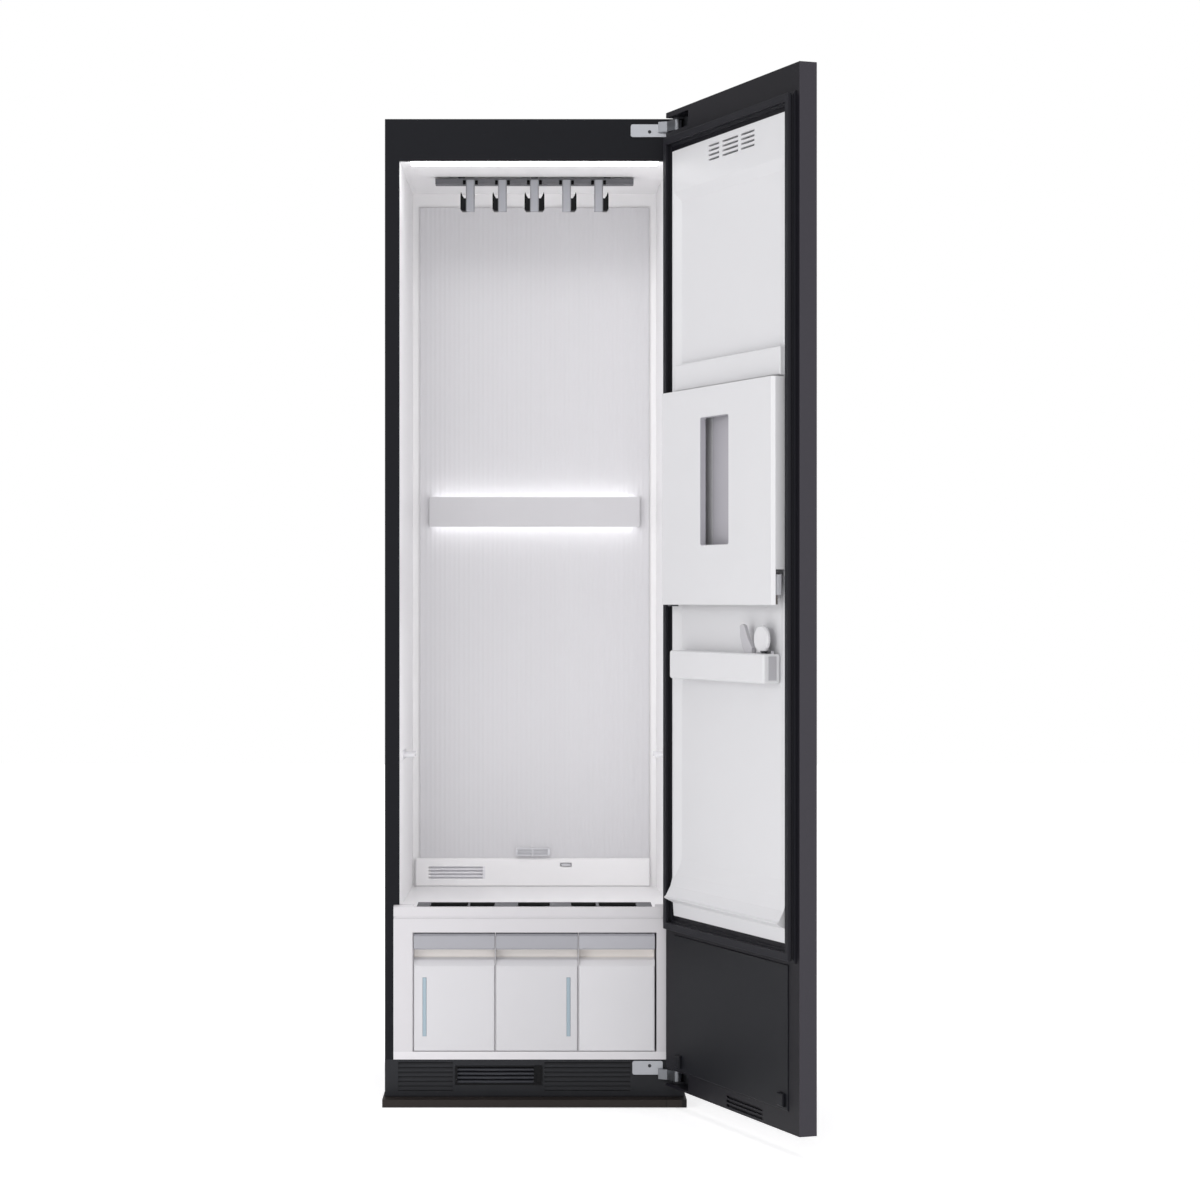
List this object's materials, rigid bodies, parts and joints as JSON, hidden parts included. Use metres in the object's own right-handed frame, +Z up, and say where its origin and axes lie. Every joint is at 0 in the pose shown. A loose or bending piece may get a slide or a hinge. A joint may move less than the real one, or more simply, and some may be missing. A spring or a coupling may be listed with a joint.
{
  "type": "clothes care steam cabinet",
  "caption": "Tall garment steam cabinet with a hinged door, trouser press on the door, shaking hanger rail and pull-out water tanks.",
  "frame": {"origin": "on the floor, on the cabinet's centre plane, in the plane of the front frame that the door closes on", "axes": "+Z up, +X towards the door's hinge side, +Y into the cabinet; the door opens towards -Y"},
  "size_m": [0.8047, 1.1291, 1.96],
  "materials": {
    "cabinet_black": "satin powder coat",
    "frame_black": "satin",
    "plinth_brown": "satin",
    "liner_white": "semi-gloss",
    "door_white": "satin",
    "press_white": "satin",
    "light_diffuser": "frosted, lit",
    "tank_white": "semi-gloss",
    "lid_grey": "translucent",
    "level_blue": "clear tinted",
    "grille_black": "matt",
    "filter_grey": "matt",
    "rail_grey": "satin",
    "hook_grey": "satin",
    "hinge_steel": "satin nickel",
    "gasket_black": "matt",
    "galvanised": "galvanised",
    "machine_black": "gloss",
    "machine_plastic": "matt",
    "coil_aluminium": "mill",
    "belt_rubber": "matt"
  },
  "bodies": {
    "cabinet": {"floor_plinth": "plinth_brown", "levelling_feet": "machine_black", "base_tray": "galvanised", "left_side_panel": "cabinet_black", "right_side_panel": "cabinet_black", "top_cover": "cabinet_black", "rear_cover": "galvanised", "front_frame": "frame_black", "cavity_liner": "liner_white", "cavity_ceiling": "liner_white", "ceiling_light": "light_diffuser", "ribbed_back_panel": "liner_white", "wall_light_cover": "liner_white", "wall_light_diffuser": "light_diffuser", "lower_rear_cover": "liner_white", "steam_outlet": "lid_grey", "cavity_floor": "liner_white", "floor_grille": "grille_black", "tank_bay_frame": "liner_white", "tank_bay_liner": "liner_white", "base_grille": "grille_black", "rail_guide_frame": "galvanised", "shake_motor": "machine_black", "drive_belt": "belt_rubber", "compressor": "machine_black", "heat_exchangers": "coil_aluminium", "fan_housing": "machine_plastic", "steam_generator": "galvanised", "water_pumps": "machine_plastic", "control_board_box": "machine_plastic", "hinge_arms": "hinge_steel"},
    "door": {"door_frame": "frame_black", "door_outer_panel": "cabinet_black", "door_liner": "door_white", "door_lower_panel": "frame_black", "door_gasket": "gasket_black", "trouser_bar_cover": "press_white", "press_hinge_pins": "hinge_steel", "hem_bar": "press_white", "door_brackets": "hinge_steel"},
    "trouser_press": {"press_plate": "press_white"},
    "press_latch_lever": {"press_latch": "hook_grey"},
    "hem_clip": {"clip_lever": "press_white"},
    "hanger_rail": {"hanger_rail": "rail_grey"},
    "drive_pulley": {"eccentric_pulley": "machine_plastic"},
    "small_pulley": {"motor_pulley": "machine_plastic"},
    "supply_tank": {"supply_tank": "tank_white", "supply_tank_lid": "lid_grey", "supply_level_window": "level_blue"},
    "drain_tank": {"drain_tank": "tank_white", "drain_tank_lid": "lid_grey", "drain_level_window": "level_blue"},
    "filter_drawer": {"filter_drawer": "tank_white"},
    "base_filter": {"base_filter": "filter_grey"},
    "circulation_fan": {"fan_impeller": "machine_plastic"},
    "hook_1": {"hanger_hook_1": "hook_grey"},
    "hook_2": {"hanger_hook_2": "hook_grey"},
    "hook_3": {"hanger_hook_3": "hook_grey"},
    "hook_4": {"hanger_hook_4": "hook_grey"},
    "hook_5": {"hanger_hook_5": "hook_grey"}
  },
  "joints": [
    {"name": "door_swing", "type": "hinge", "parent": "cabinet", "child": "door", "pos_m": [0.2822, -0.03225, 1], "axis": [0, 0, 1], "range_deg": [-110.8, 9]},
    {"name": "press_swing", "type": "hinge", "parent": "door", "child": "trouser_press", "pos_m": [0.26842, -0.07835, 1.194], "axis": [0, 0, -1], "range_deg": [0, 75]},
    {"name": "press_latch_turn", "type": "hinge", "parent": "trouser_press", "child": "press_latch_lever", "pos_m": [0.43414, -0.54277, 1.026], "axis": [0, 0, -1], "range_deg": [0, 20], "stiffness_Nm_per_rad": 0.05},
    {"name": "hem_clip_press", "type": "hinge", "parent": "door", "child": "hem_clip", "pos_m": [0.41781, -0.47302, 0.9044], "axis": [-0.3551, 0.9348, 0], "range_deg": [0, 8], "stiffness_Nm_per_rad": 0.5},
    {"name": "hanger_shake", "type": "slide", "parent": "cabinet", "child": "hanger_rail", "axis": [1, 0, 0], "range_m": [-0.014, 0.014]},
    {"name": "hook_twist_1", "type": "hinge", "parent": "hanger_rail", "child": "hook_1", "pos_m": [-0.132, 0.24, 1.84], "axis": [0, 0, 1], "range_deg": [-20, 20]},
    {"name": "hook_twist_2", "type": "hinge", "parent": "hanger_rail", "child": "hook_2", "pos_m": [-0.066, 0.24, 1.84], "axis": [0, 0, 1], "range_deg": [-20, 20]},
    {"name": "hook_twist_3", "type": "hinge", "parent": "hanger_rail", "child": "hook_3", "pos_m": [0, 0.24, 1.84], "axis": [0, 0, 1], "range_deg": [-20, 20]},
    {"name": "hook_twist_4", "type": "hinge", "parent": "hanger_rail", "child": "hook_4", "pos_m": [0.066, 0.24, 1.84], "axis": [0, 0, 1], "range_deg": [-20, 20]},
    {"name": "hook_twist_5", "type": "hinge", "parent": "hanger_rail", "child": "hook_5", "pos_m": [0.132, 0.24, 1.84], "axis": [0, 0, 1], "range_deg": [-20, 20]},
    {"name": "pulley_turn", "type": "hinge", "parent": "cabinet", "child": "drive_pulley", "pos_m": [0, 0.293, 1.91], "axis": [0, 0, 1], "range_deg": [-45, 45]},
    {"name": "motor_turn", "type": "hinge", "parent": "cabinet", "child": "small_pulley", "pos_m": [0.12, 0.293, 1.91], "axis": [0, 0, 1], "range_deg": [-151, 151]},
    {"name": "supply_tank_pull", "type": "slide", "parent": "cabinet", "child": "supply_tank", "axis": [0, -1, 0], "range_m": [0, 0.27]},
    {"name": "drain_tank_pull", "type": "slide", "parent": "cabinet", "child": "drain_tank", "axis": [0, -1, 0], "range_m": [0, 0.27]},
    {"name": "filter_drawer_pull", "type": "slide", "parent": "cabinet", "child": "filter_drawer", "axis": [0, -1, 0], "range_m": [0, 0.27]},
    {"name": "base_filter_pull", "type": "slide", "parent": "cabinet", "child": "base_filter", "axis": [0, -1, 0], "range_m": [0, 0.05]},
    {"name": "fan_spin", "type": "hinge", "parent": "cabinet", "child": "circulation_fan", "pos_m": [0.175, 0.44, 0.25], "axis": [0, 0, 1], "continuous": true}
  ],
  "couplings": [
    {"joint": "hook_twist_2", "follows": "hook_twist_1", "ratio": 1},
    {"joint": "hook_twist_3", "follows": "hook_twist_1", "ratio": 1},
    {"joint": "hook_twist_4", "follows": "hook_twist_1", "ratio": 1},
    {"joint": "hook_twist_5", "follows": "hook_twist_1", "ratio": 1},
    {"joint": "pulley_turn", "follows": "hanger_shake", "rad_per_m": 55.556},
    {"joint": "motor_turn", "follows": "hanger_shake", "rad_per_m": 187.13}
  ]
}
